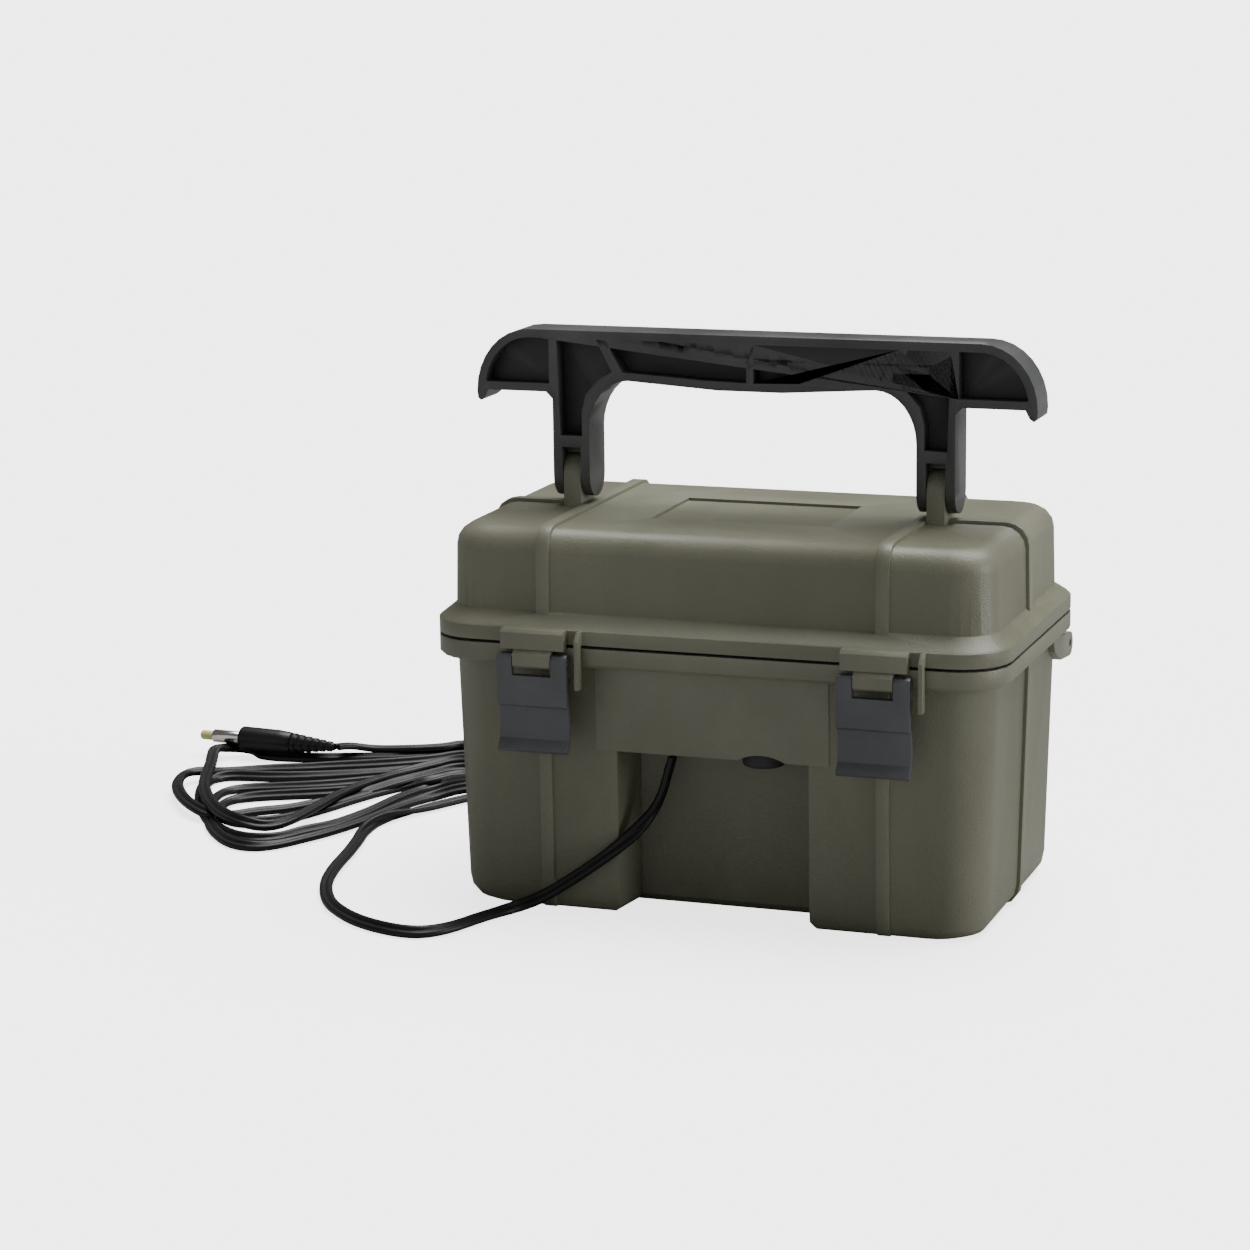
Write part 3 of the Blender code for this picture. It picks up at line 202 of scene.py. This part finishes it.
smooth = node_in(g, "ShaderNodeMath", [(0, scuffed.outputs[0]), (1, -0.06)], operation="MULTIPLY")
total = node_in(g, "ShaderNodeMath", [(0, rough.outputs[0]), (1, smooth.outputs[0])], operation="ADD")
g.links.new(total.outputs[0], gives.inputs["Roughness"])
relief = node_in(g, "ShaderNodeMath", [(0, grain.outputs[0]), (1, pits.outputs["Distance"])], operation="ADD")
bump = node_in(
    g, "ShaderNodeBump",
    [("Height", relief.outputs[0]), ("Distance", takes.outputs["Depth"]), ("Strength", 1.0)],
)
g.links.new(bump.outputs[0], gives.inputs["Normal"])


def moulded(
    name, colour, wear_and_highlight_colour, low, high, depth=0.00003, size=900.0, mottle=0.3, wear_and_highlight_by=0.5, specular=0.5
):
    """A moulded plastic or rubber: the shared skin with this finish's own values."""
    made = bpy.data.materials.new(name)
    made.use_nodes = True
    tree = made.node_tree
    shader = tree.nodes["Principled BSDF"]
    skin = tree.nodes.new("ShaderNodeGroup")
    skin.node_tree = skin_group
    values = {"Colour": (*colour, 1.0), "Edge wear and highlight": (*wear_and_highlight_colour, 1.0), "Grain": size, "Depth": depth}
    values |= {"Mottle": mottle, "Sheen low": low, "Sheen high": high, "Edge wear and highlight amount": wear_and_highlight_by}
    for slot, value in values.items():
        skin.inputs[slot].default_value = value
    tree.links.new(skin.outputs["Colour"], shader.inputs["Base Color"])
    tree.links.new(skin.outputs["Roughness"], shader.inputs["Roughness"])
    tree.links.new(skin.outputs["Normal"], shader.inputs["Normal"])
    shader.inputs["Specular IOR Level"].default_value = specular
    return made


def wear(piece, finish):
    """Gives a piece one material all over."""
    piece.data.materials.clear()
    piece.data.materials.append(finish)


olive = moulded(
    "olive_abs", (0.124, 0.124, 0.080), (0.270, 0.268, 0.215), 0.38, 0.54, depth=0.00006, size=1500.0
)
case = softened(nodes["base_shell"], "lower_case", EDGE_CASE)
wear(case, olive)
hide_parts("base_shell")
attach(case, "base")

# ---- lid seal -----------------------------------------------------------------------------------
# Solid black rubber cord pressed into the groove in the flange; the lid closes down onto it.
# Its black also stands for painted shade: the dark seam of the shaded gap at the parting line.
rubber = moulded("black_rubber", (0.014, 0.014, 0.014), (0.05, 0.05, 0.05), 0.55, 0.75, size=1500.0)
wear(nodes["lid_gasket"], rubber)

# ---- lid ----------------------------------------------------------------------------------------
# Moulded from the same olive ABS: a shallow shell with ribs, a sunk label panel left blank, two
# lugs for the handle, a block, tab and guard rib at each latch, and the two hinge arms.
lid = softened(nodes["lid_shell"], "lid", 0.0006)
wear(lid, olive)
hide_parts("lid_shell")
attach(lid, "lid")

# ---- carry handle -------------------------------------------------------------------------------
# Black polypropylene, moulded in two-way pockets round a middle web, with thick rounded rims. It
# turns on two blind pins through the lid's lugs and folds flat to the front or the back.
grip = softened(nodes["handle"], "carry_handle", 0.0009, segments=3)
# The black rims get a stronger lighter edge: rubbed wear plus a painted highlight along their edges.
black = moulded(
    "black_polypropylene", (0.009, 0.010, 0.010), (0.11, 0.115, 0.11), 0.36, 0.52, size=1400.0,
    wear_and_highlight_by=0.7, specular=0.4,
)
wear(grip, black)
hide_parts("handle")
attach(grip, "handle")
for side in ("left", "right"):
    wear(nodes[f"handle_pin_{side}"], black)

# ---- snap latches -------------------------------------------------------------------------------
# Grey-black moulded plates that hang on steel pins through the lid's tabs; the lower end curls out
# into a finger scoop and a nose behind catches under the lower flange.
latch_grey = moulded("latch_grey", (0.046, 0.050, 0.055), (0.15, 0.15, 0.155), 0.36, 0.50, size=1000.0)
for side in ("left", "right"):
    latch = softened(nodes[f"latch_{side}"], f"snap_latch_{side}", 0.0005)
    wear(latch, latch_grey)
    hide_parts(f"latch_{side}")
    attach(latch, f"latch_{side}")

# ---- steel pins and nuts ------------------------------------------------------------------------
# Plain drawn steel wire, zinc plated: a faint fine grain in the surface and a dull grey finish.
metal_group, takes, gives = group_of(
    "plated_metal",
    [
        ("Colour", COLOUR, (0.6, 0.6, 0.6, 1.0)), ("Low", NUMBER, 0.22), ("High", NUMBER, 0.42),
        ("Lines", NUMBER, 2600.0),
    ],
    [("Colour", COLOUR), ("Roughness", NUMBER), ("Normal", ARROW)],
)
g = metal_group
place = node_in(g, "ShaderNodeTexCoord").outputs["Object"]
fine = node_in(
    g, "ShaderNodeTexNoise", [("Vector", place), ("Scale", takes.outputs["Lines"]), ("Detail", 2.0)]
)
dull = node_in(g, "ShaderNodeTexNoise", [("Vector", place), ("Scale", 160.0), ("Detail", 4.0)])
tone = node_in(g, "ShaderNodeMapRange", [("Value", dull.outputs[0]), ("To Min", 0.72), ("To Max", 1.12)])
tinted = node_in(
    g, "ShaderNodeVectorMath", [(0, takes.outputs["Colour"]), ("Scale", tone.outputs[0])], operation="SCALE"
)
rough = node_in(
    g, "ShaderNodeMapRange",
    [("Value", dull.outputs[0]), ("To Min", takes.outputs["Low"]), ("To Max", takes.outputs["High"])],
)
bump = node_in(g, "ShaderNodeBump", [("Height", fine.outputs[0]), ("Distance", 0.00001)])
g.links.new(tinted.outputs[0], gives.inputs["Colour"])
g.links.new(rough.outputs[0], gives.inputs["Roughness"])
g.links.new(bump.outputs[0], gives.inputs["Normal"])


def plated(name, colour, low, high):
    """A plated metal: the shared plating with this finish's colour and range of sheen."""
    made = bpy.data.materials.new(name)
    made.use_nodes = True
    tree = made.node_tree
    shader = tree.nodes["Principled BSDF"]
    skin = tree.nodes.new("ShaderNodeGroup")
    skin.node_tree = metal_group
    skin.inputs["Colour"].default_value = (*colour, 1.0)
    skin.inputs["Low"].default_value, skin.inputs["High"].default_value = low, high
    for slot in ("Colour", "Roughness", "Normal"):
        tree.links.new(skin.outputs[slot], shader.inputs["Base Color" if slot == "Colour" else slot])
    shader.inputs["Metallic"].default_value = 1.0
    return made


zinc = plated("zinc_steel", (0.56, 0.56, 0.57), 0.24, 0.44)
nickel = plated("nickel_plate", (0.74, 0.72, 0.68), 0.10, 0.24)
brass = plated("tinned_brass", (0.66, 0.62, 0.54), 0.25, 0.45)
for name in ("hinge_pin_left", "hinge_pin_right", "latch_pin_left", "latch_pin_right", "socket_nut"):
    wear(nodes[name], zinc)

# ---- battery ------------------------------------------------------------------------------------
# A sealed 12 V battery in a dark ribless case with a welded cover, held by foam strips and by two
# upright plates in the floor. Its tab terminals carry push-on connectors in coloured sleeves.
battery_black = moulded("battery_case", (0.034, 0.035, 0.038), (0.09, 0.09, 0.09), 0.38, 0.56, size=700.0)
foam = moulded(
    "grey_foam", (0.050, 0.050, 0.052), (0.08, 0.08, 0.08), 0.88, 0.98, depth=0.0004, size=420.0, mottle=0.5
)
sleeve_red = moulded("red_sleeve", (0.42, 0.020, 0.018), (0.50, 0.10, 0.09), 0.34, 0.50)
sleeve_black = moulded("black_sleeve", (0.016, 0.016, 0.017), (0.06, 0.06, 0.06), 0.34, 0.50)
for name, new_name, finish, slot in (
    ("battery_case", "sealed_battery", battery_black, "battery_plastic"),
    ("battery_cover", "battery_lid", battery_black, "battery_plastic"),
    ("connector_negative", "push_on_negative", sleeve_black, "sleeve_black"),
    ("connector_positive", "push_on_positive", sleeve_red, "sleeve_red"),
    ("pad_front", "foam_front", foam, "foam"),
    ("pad_rear", "foam_rear", foam, "foam"),
    ("pad_top", "foam_top", foam, "foam"),
):
    piece = softened(nodes[name], new_name, 0.0004 if "foam" in new_name else 0.0006)
    wear(piece, finish)
    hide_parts(name)
    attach(piece, "lid" if name == "pad_top" else "base")
for name in ("terminal_negative", "terminal_positive"):
    wear(nodes[name], brass)
for name in ("lead_positive", "lead_fused"):
    wear(nodes[name], sleeve_red)
wear(nodes["lead_negative"], sleeve_black)
for name, new_name in (
    ("fuse_holder", "inline_fuse"),
    ("fuse_ring", "fuse_cap_ring"),
    ("gland_nut", "gland_lock_nut"),
):
    piece = softened(nodes[name], new_name, 0.0004)
    wear(piece, black)
    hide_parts(name)
    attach(piece, "base")

# ---- charging socket and cord gland -------------------------------------------------------------
# Both sit in the ledge over the front bay. The socket is a threaded barrel with a soft rubber cap;
# the cord comes out through a rubber bushing with a short tapered nose.
for name, new_name, finish, slot, width in (
    ("socket_body", "barrel_socket", black, "black_plastic", 0.0003),
    ("socket_cap", "socket_dust_cap", rubber, "black_rubber", 0.0006),
    ("cord_gland", "cord_bushing", rubber, "black_rubber", 0.0003),
):
    piece = softened(nodes[name], new_name, width)
    wear(piece, finish)
    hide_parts(name)
    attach(piece, "base")

# ---- power cord ---------------------------------------------------------------------------------
# Three metres of black PVC flat twin flex. It leaves the bushing edge-on, drops to the floor, turns
# back past the left of the case, and the rest is laid round in five loose turns beside the case.
LOBE, LOBE_APART = 0.00130, 0.00126
FLOOR_GAP = 0.0001
HANK_LEAN = 0.62  # radians that a run leans its far edge up
HANK_ROLL = 0.22
TO_HANK = [
    (-18, -44, 56.5), (-19.5, -44.3, 51.5), (-21.1, -45.5, 44.4), (-23.5, -47.5, 38.1),
    (-27.9, -51.5, 31.9), (-33.9, -56, 26), (-41.1, -57.2, 20.2), (-52.4, -57.8, 12), (-63.7, -60, 4.8),
    (-72.6, -66, 2), (-78.3, -80.1, 2.3), (-83.9, -94.3, 2.3), (-91.7, -102.9, 2.3),
    (-103.1, -102.7, 2.3), (-117.1, -97.1, 2.3), (-128.9, -88, 2.3), (-139.2, -75.6, 2.1),
    (-148, -58, 2.5), (-153.6, -38, 2.5), (-157.2, -18, 2.4), (-161, 0, 2.3), (-164.5, 13.5, 1.9),
    (-164.5, 27, 1.9), (-160.5, 41, 1.9), (-153, 55.5, 1.9), (-146, 69, 1.9),
]
TURN_1 = [
    (-134, 88.3, 1.9), (-119, 110.5, 1.9), (-100.2, 112.8, 1.9), (-93.5, 118, 1.9), (-91, 126, 1.9),
    (-93.5, 134, 1.9), (-100.2, 139.2, 1.9), (-119, 141, 1.9), (-140, 123.3, 1.9), (-161.2, 107, 1.9),
    (-169.1, 92.9, 1.9), (-178.5, 81.8, 1.9), (-188.9, 70.4, 1.9), (-200.6, 62, 1.9),
    (-211.3, 56.4, 1.9), (-223.8, 50.2, 1.9), (-232.1, 44.5, 1.9), (-234.8, 37.2, 1.9),
    (-232.8, 26.8, 1.9), (-226.4, 16.3, 1.9), (-218.6, 10.9, 1.9), (-211.6, 10.8, 1.9),
    (-203.8, 16.9, 1.9), (-198.1, 27.9, 1.9), (-191.6, 44, 1.9), (-185.2, 61.8, 1.9),
    (-177.2, 78.9, 1.9), (-165.5, 84.5, 4.5), (-157, 97, 4.5),
]
TURN_2 = [
    (-134, 99.7, 4.5), (-119, 105.5, 3), (-98.5, 108.1, 1.9), (-89.4, 115.1, 1.9), (-86, 126, 1.9),
    (-89.4, 136.9, 1.9), (-98.5, 143.9, 1.9), (-119, 146, 1.9), (-140, 130.6, 1.9),
    (-164.9, 116.1, 1.9), (-172.8, 101.8, 1.9), (-182.9, 92.1, 1.9), (-194.1, 82.1, 1.9),
    (-205.8, 73.6, 1.9), (-216.6, 67.9, 1.9), (-229.6, 62.3, 1.9), (-240.2, 56.6, 1.9),
    (-242.7, 46.1, 1.9), (-237.1, 27.1, 1.9), (-225.3, 4.3, 1.9), (-211.5, -12.5, 1.9),
    (-199.4, -19.1, 1.9), (-189.7, -14.7, 1.9), (-181.7, -1.2, 1.9), (-176.3, 10.1, 1.9),
    (-170.5, 28.5, 1.9), (-165.6, 51.8, 1.9), (-159.3, 69.6, 1.9), (-148.6, 76.4, 4.5),
]
TURN_3 = [
    (-134, 84.4, 4.5), (-119, 100.5, 3), (-96.8, 103.4, 1.9), (-85.3, 112.2, 1.9), (-81, 126, 1.9),
    (-85.3, 139.8, 1.9), (-96.8, 148.6, 1.9), (-119, 151, 1.9), (-140, 137.9, 1.9),
    (-168.7, 125.3, 1.9), (-177.5, 113.2, 1.9), (-188, 104, 1.9), (-199.9, 95.4, 1.9),
    (-212.5, 88.2, 1.9), (-223.3, 82.5, 1.9), (-236.8, 77.6, 1.9), (-251.3, 74.9, 1.9),
    (-256.3, 68.4, 1.9), (-253.8, 54.2, 1.9), (-244.5, 34.3, 1.9), (-230.4, 12, 1.9), (-215.6, -4, 1.9),
    (-202.3, -10.4, 1.9), (-192.9, -6.1, 1.9), (-187.6, 5.2, 1.9), (-179.9, 18.1, 1.9),
    (-174.7, 38.1, 1.9), (-171.1, 64.5, 1.9), (-165.1, 83.3, 1.9), (-153.4, 88.1, 4.5),
]
TURN_4 = [
    (-134, 90.9, 4.6), (-119, 100.5, 4.6), (-96.8, 103.4, 4.6), (-85.3, 112.2, 4.6), (-81, 126, 4.6),
    (-85.3, 139.8, 4.6), (-96.8, 148.6, 4.6), (-119, 151, 4.6), (-140, 142.2, 4.5), (-171.8, 133.1, 1.9),
    (-181.7, 123.1, 1.9), (-192.6, 114.7, 1.9), (-205.2, 107.4, 1.9), (-218.2, 101, 1.9),
    (-229.2, 95.1, 1.9), (-242.4, 89.5, 1.9), (-254.4, 81.3, 2.2), (-260.7, 71, 4.5),
    (-265.9, 67.7, 4.5), (-265.5, 57.8, 4.5), (-260.1, 44.5, 4.5), (-250.1, 29.8, 4.5),
    (-239.7, 18.7, 4.5), (-231, 13.5, 3.7), (-223.9, 16.7, 2.6), (-216.9, 26.5, 2.3),
    (-207.9, 35.1, 1.9), (-201.3, 44.2, 1.9), (-194.8, 54.1, 1.9), (-186.1, 67, 2.6), (-177, 78.5, 4.5),
    (-169.2, 93.4, 4.5), (-160.7, 106, 4.5),
]
TURN_5 = [
    (-134, 104.7, 4.6), (-119, 105.5, 4.6), (-98.5, 108.1, 4.6), (-89.4, 115.1, 4.6), (-86, 126, 4.6),
    (-89.4, 136.9, 4.6), (-98.5, 143.9, 4.6), (-119, 146, 4.6), (-140, 144.7, 2.3), (-175.4, 141.7, 1.9),
    (-183.1, 135, 1.9), (-197.2, 125.5, 1.9), (-216.7, 117.9, 1.9), (-236.5, 111.1, 1.9),
    (-253.7, 110.4, 1.9), (-258, 115.5, 2.6), (-265.5, 114.5, 3.6), (-269.6, 108.5, 4.3),
    (-270, 99, 6.1), (-259.4, 73.6, 7), (-247.4, 43.4, 7.1), (-235.5, 22.9, 7.1), (-222.3, 6.6, 7.1),
    (-208.6, -3, 6.9), (-199.4, -1, 5), (-194.6, 9.5, 4.8), (-193.2, 28.8, 4.7), (-192, 52.9, 4.7),
    (-188.1, 73.6, 4.7), (-180.6, 94.2, 4.7), (-170.7, 105.5, 5.9), (-162.8, 111.1, 7),
]
LAST = [
    (-134, 111.5, 6), (-119, 110.5, 6), (-100.2, 112.8, 4.6), (-93.5, 118, 4.6), (-91, 126, 4.6),
    (-93.5, 134, 4.6), (-100.2, 139.2, 4.6), (-119, 141, 4.6), (-140, 143.1, 6.9), (-175.8, 142.9, 4.6),
    (-180.2, 137.1, 4.6), (-192.2, 130, 4.6), (-208.9, 124.3, 4.6), (-216.5, 119.8, 6.5),
    (-220.2, 112, 7.5),
]


def even_route(points, step):
    """Evenly spaced points, in metres, on one smooth curve through points given in millimetres."""
    points = [Vector(point) / 1000 for point in points]
    slopes = []
    for i in range(len(points)):
        before, after = points[max(i - 1, 0)], points[min(i + 1, len(points) - 1)]
        slopes.append((after - before) / (2 if 0 < i < len(points) - 1 else 1))
    fine = []
    for i, (start, end) in enumerate(zip(points, points[1:])):
        fine += interpolate_bezier(start, start + slopes[i] / 3, end - slopes[i + 1] / 3, end, 17)[:-1]
    fine.append(points[-1])
    lengths = [0.0]
    for start, end in zip(fine, fine[1:]):
        lengths.append(lengths[-1] + (end - start).length)
    count, even, j = round(lengths[-1] / step), [], 0
    for number in range(count + 1):
        wanted = lengths[-1] * number / count
        while j < len(lengths) - 2 and lengths[j + 1] < wanted:
            j += 1
        even.append(fine[j].lerp(fine[j + 1], (wanted - lengths[j]) / (lengths[j + 1] - lengths[j])))
    for _ in range(5):
        inner = [(a + 2 * b + c) / 4 for a, b, c in zip(even, even[1:], even[2:])]
        even = [even[0], *inner, even[-1]]
    return even


def ease(value, low, high):
    """0 below low, 1 above high, and a smooth step between."""
    share = min(max((value - low) / (high - low), 0.0), 1.0)
    return share * share * (3 - 2 * share)


route = even_route(TO_HANK + TURN_1 + TURN_2 + TURN_3 + TURN_4 + TURN_5 + LAST, 0.002)
lobes = []
for number in range(9):
    angle = math.radians(-150 + 37.5 * number)
    lobes.append((LOBE_APART + LOBE * math.cos(angle), LOBE * math.sin(angle)))
lobes += [(-x, -z) for x, z in lobes]
run, along, tangent = 0.0, [], []
for i, point in enumerate(route):
    run += (point - route[i - 1]).length if i else 0.0
    along.append(run)
    tangent.append((route[min(i + 1, len(route) - 1)] - route[max(i - 1, 0)]).normalized())
flex_mesh = bmesh.new()
reel = flex_mesh.loops.layers.uv.new("reel")
rings = []
for point, forward, s in zip(route, tangent, along):
    flat = Vector((1.0, 0.0, 0.0)).lerp(Vector((0.0, -0.62, 0.78)), ease(s, 0.012, 0.050))
    flat = flat.lerp(Vector((0.0, 0.0, 1.0)), ease(s, 0.190, 0.235))
    wide = flat.cross(forward).normalized()
    thin = forward.cross(wide)
    twist = math.pi * ease(s, 0.262, 0.325)
    in_hank = ease(s, 0.35, 0.42) * (1 - ease(s, run - 0.10, run - 0.05))
    twist += in_hank * (HANK_LEAN * forward.x + HANK_ROLL * math.sin(s * 31.0))
    a, b = math.cos(twist), math.sin(twist)
    point.z = max(point.z, LOBE + LOBE_APART * abs(a * wide.z + b * thin.z) + FLOOR_GAP)
    ring = [point + (x * a - z * b) * wide + (x * b + z * a) * thin for x, z in lobes]
    rings.append([flex_mesh.verts.new(corner) for corner in ring])
for i, (start, end) in enumerate(zip(rings, rings[1:])):
    for k in range(len(lobes)):
        n = (k + 1) % len(lobes)
        face = flex_mesh.faces.new((start[k], start[n], end[n], end[k]))
        for loop, (u, v) in zip(face.loops, ((i, k), (i, k + 1), (i + 1, k + 1), (i + 1, k))):
            loop[reel].uv = (along[u], v / len(lobes))
flex_mesh.faces.new(list(reversed(rings[0])))
flex_mesh.faces.new(rings[-1])
bmesh.ops.recalc_face_normals(flex_mesh, faces=flex_mesh.faces)
flex = bpy.data.objects.new("power_flex", bpy.data.meshes.new("power_flex"))
flex_mesh.to_mesh(flex.data)
flex_mesh.free()
bpy.context.scene.collection.objects.link(flex)
pick(flex)
bpy.ops.object.shade_smooth_by_angle(angle=math.radians(50))
pvc = moulded(
    "black_pvc", (0.006, 0.006, 0.006), (0.03, 0.03, 0.03), 0.34, 0.50, depth=0.00002, size=1300.0,
    specular=0.3,
)
wear(flex, pvc)
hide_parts("power_cord", "cord_hank", "cord_tail")
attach(flex, "base")

# ---- plug ---------------------------------------------------------------------------------------
# A moulded 5.5 mm barrel plug: soft PVC over-moulding with a ringed, tapering strain relief, a
# nickel-plated barrel and a pale insulator at its end.
yellow = moulded("pale_insulator", (0.60, 0.57, 0.20), (0.70, 0.68, 0.35), 0.35, 0.50)
for name, new_name, finish, slot, width in (
    ("plug_body", "plug_grip", pvc, "cord_pvc", 0.0005),
    ("plug_relief", "plug_strain_relief", pvc, "cord_pvc", 0.0003),
    ("plug_barrel", "plug_sleeve", nickel, "steel", 0.0002),
    ("plug_tip", "plug_insulator", yellow, "yellow_insulator", 0.0003),
):
    piece = softened(nodes[name], new_name, width)
    wear(piece, finish)
    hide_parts(name)
    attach(piece, "base")

# ---- floor and light ----------------------------------------------------------------------------
# A white paper sweep under three broad soft lights: overhead, from the right-hand side, and a weak
# fill from the front. The paper throws back less light than it shows, as if dark flags stood near.
bpy.ops.object.select_all(action="DESELECT")
bpy.ops.mesh.primitive_plane_add(size=60.0, location=(0.0, 0.0, 0.0))
floor = bpy.context.object
floor.name = "floor"
paper = bpy.data.materials.new("white_paper")
paper.use_nodes = True
tree = paper.node_tree
paper_shader = tree.nodes["Principled BSDF"]
paper_shader.inputs["Roughness"].default_value = 0.9
paper_shader.inputs["Specular IOR Level"].default_value = 0.0
seen = node_in(tree, "ShaderNodeLightPath").outputs["Is Camera Ray"]
tone = node_in(
    tree, "ShaderNodeMix", [("Factor", seen), (6, (0.34, 0.34, 0.34, 1.0)), (7, (0.95, 0.95, 0.95, 1.0))],
    data_type="RGBA",
)
tree.links.new(tone.outputs[2], paper_shader.inputs["Base Color"])
paper_shader.inputs["Emission Color"].default_value = (1.0, 1.0, 1.0, 1.0)
glow = node_in(tree, "ShaderNodeMath", [(0, seen), (1, 2.6)], operation="MULTIPLY")
tree.links.new(glow.outputs[0], paper_shader.inputs["Emission Strength"])
wear(floor, paper)
for name, toward, strength, spread in (
    ("overhead", (0.16, 0.34, 1.0), 5.2, 50.0),
    ("front_fill", (-0.30, -1.0, 0.10), 0.42, 60.0),
    ("right", (1.0, 0.02, 0.16), 2.0, 34.0),
):
    lamp = bpy.data.lights.new(name, "SUN")
    lamp.energy, lamp.angle = strength, math.radians(spread)
    light = bpy.data.objects.new(name, lamp)
    light.rotation_euler = Vector(toward).to_track_quat("Z", "Y").to_euler()
    bpy.context.scene.collection.objects.link(light)
world = bpy.data.worlds.new("surround")
world.use_nodes = True
tree = world.node_tree
tree.nodes["Background"].inputs["Color"].default_value = (1.0, 1.0, 1.0, 1.0)
seen = node_in(tree, "ShaderNodeLightPath").outputs["Is Camera Ray"]
power = node_in(tree, "ShaderNodeMapRange", [("Value", seen), ("To Min", 0.15), ("To Max", 4.0)])
tree.links.new(power.outputs[0], tree.nodes["Background"].inputs["Strength"])
bpy.context.scene.world = world
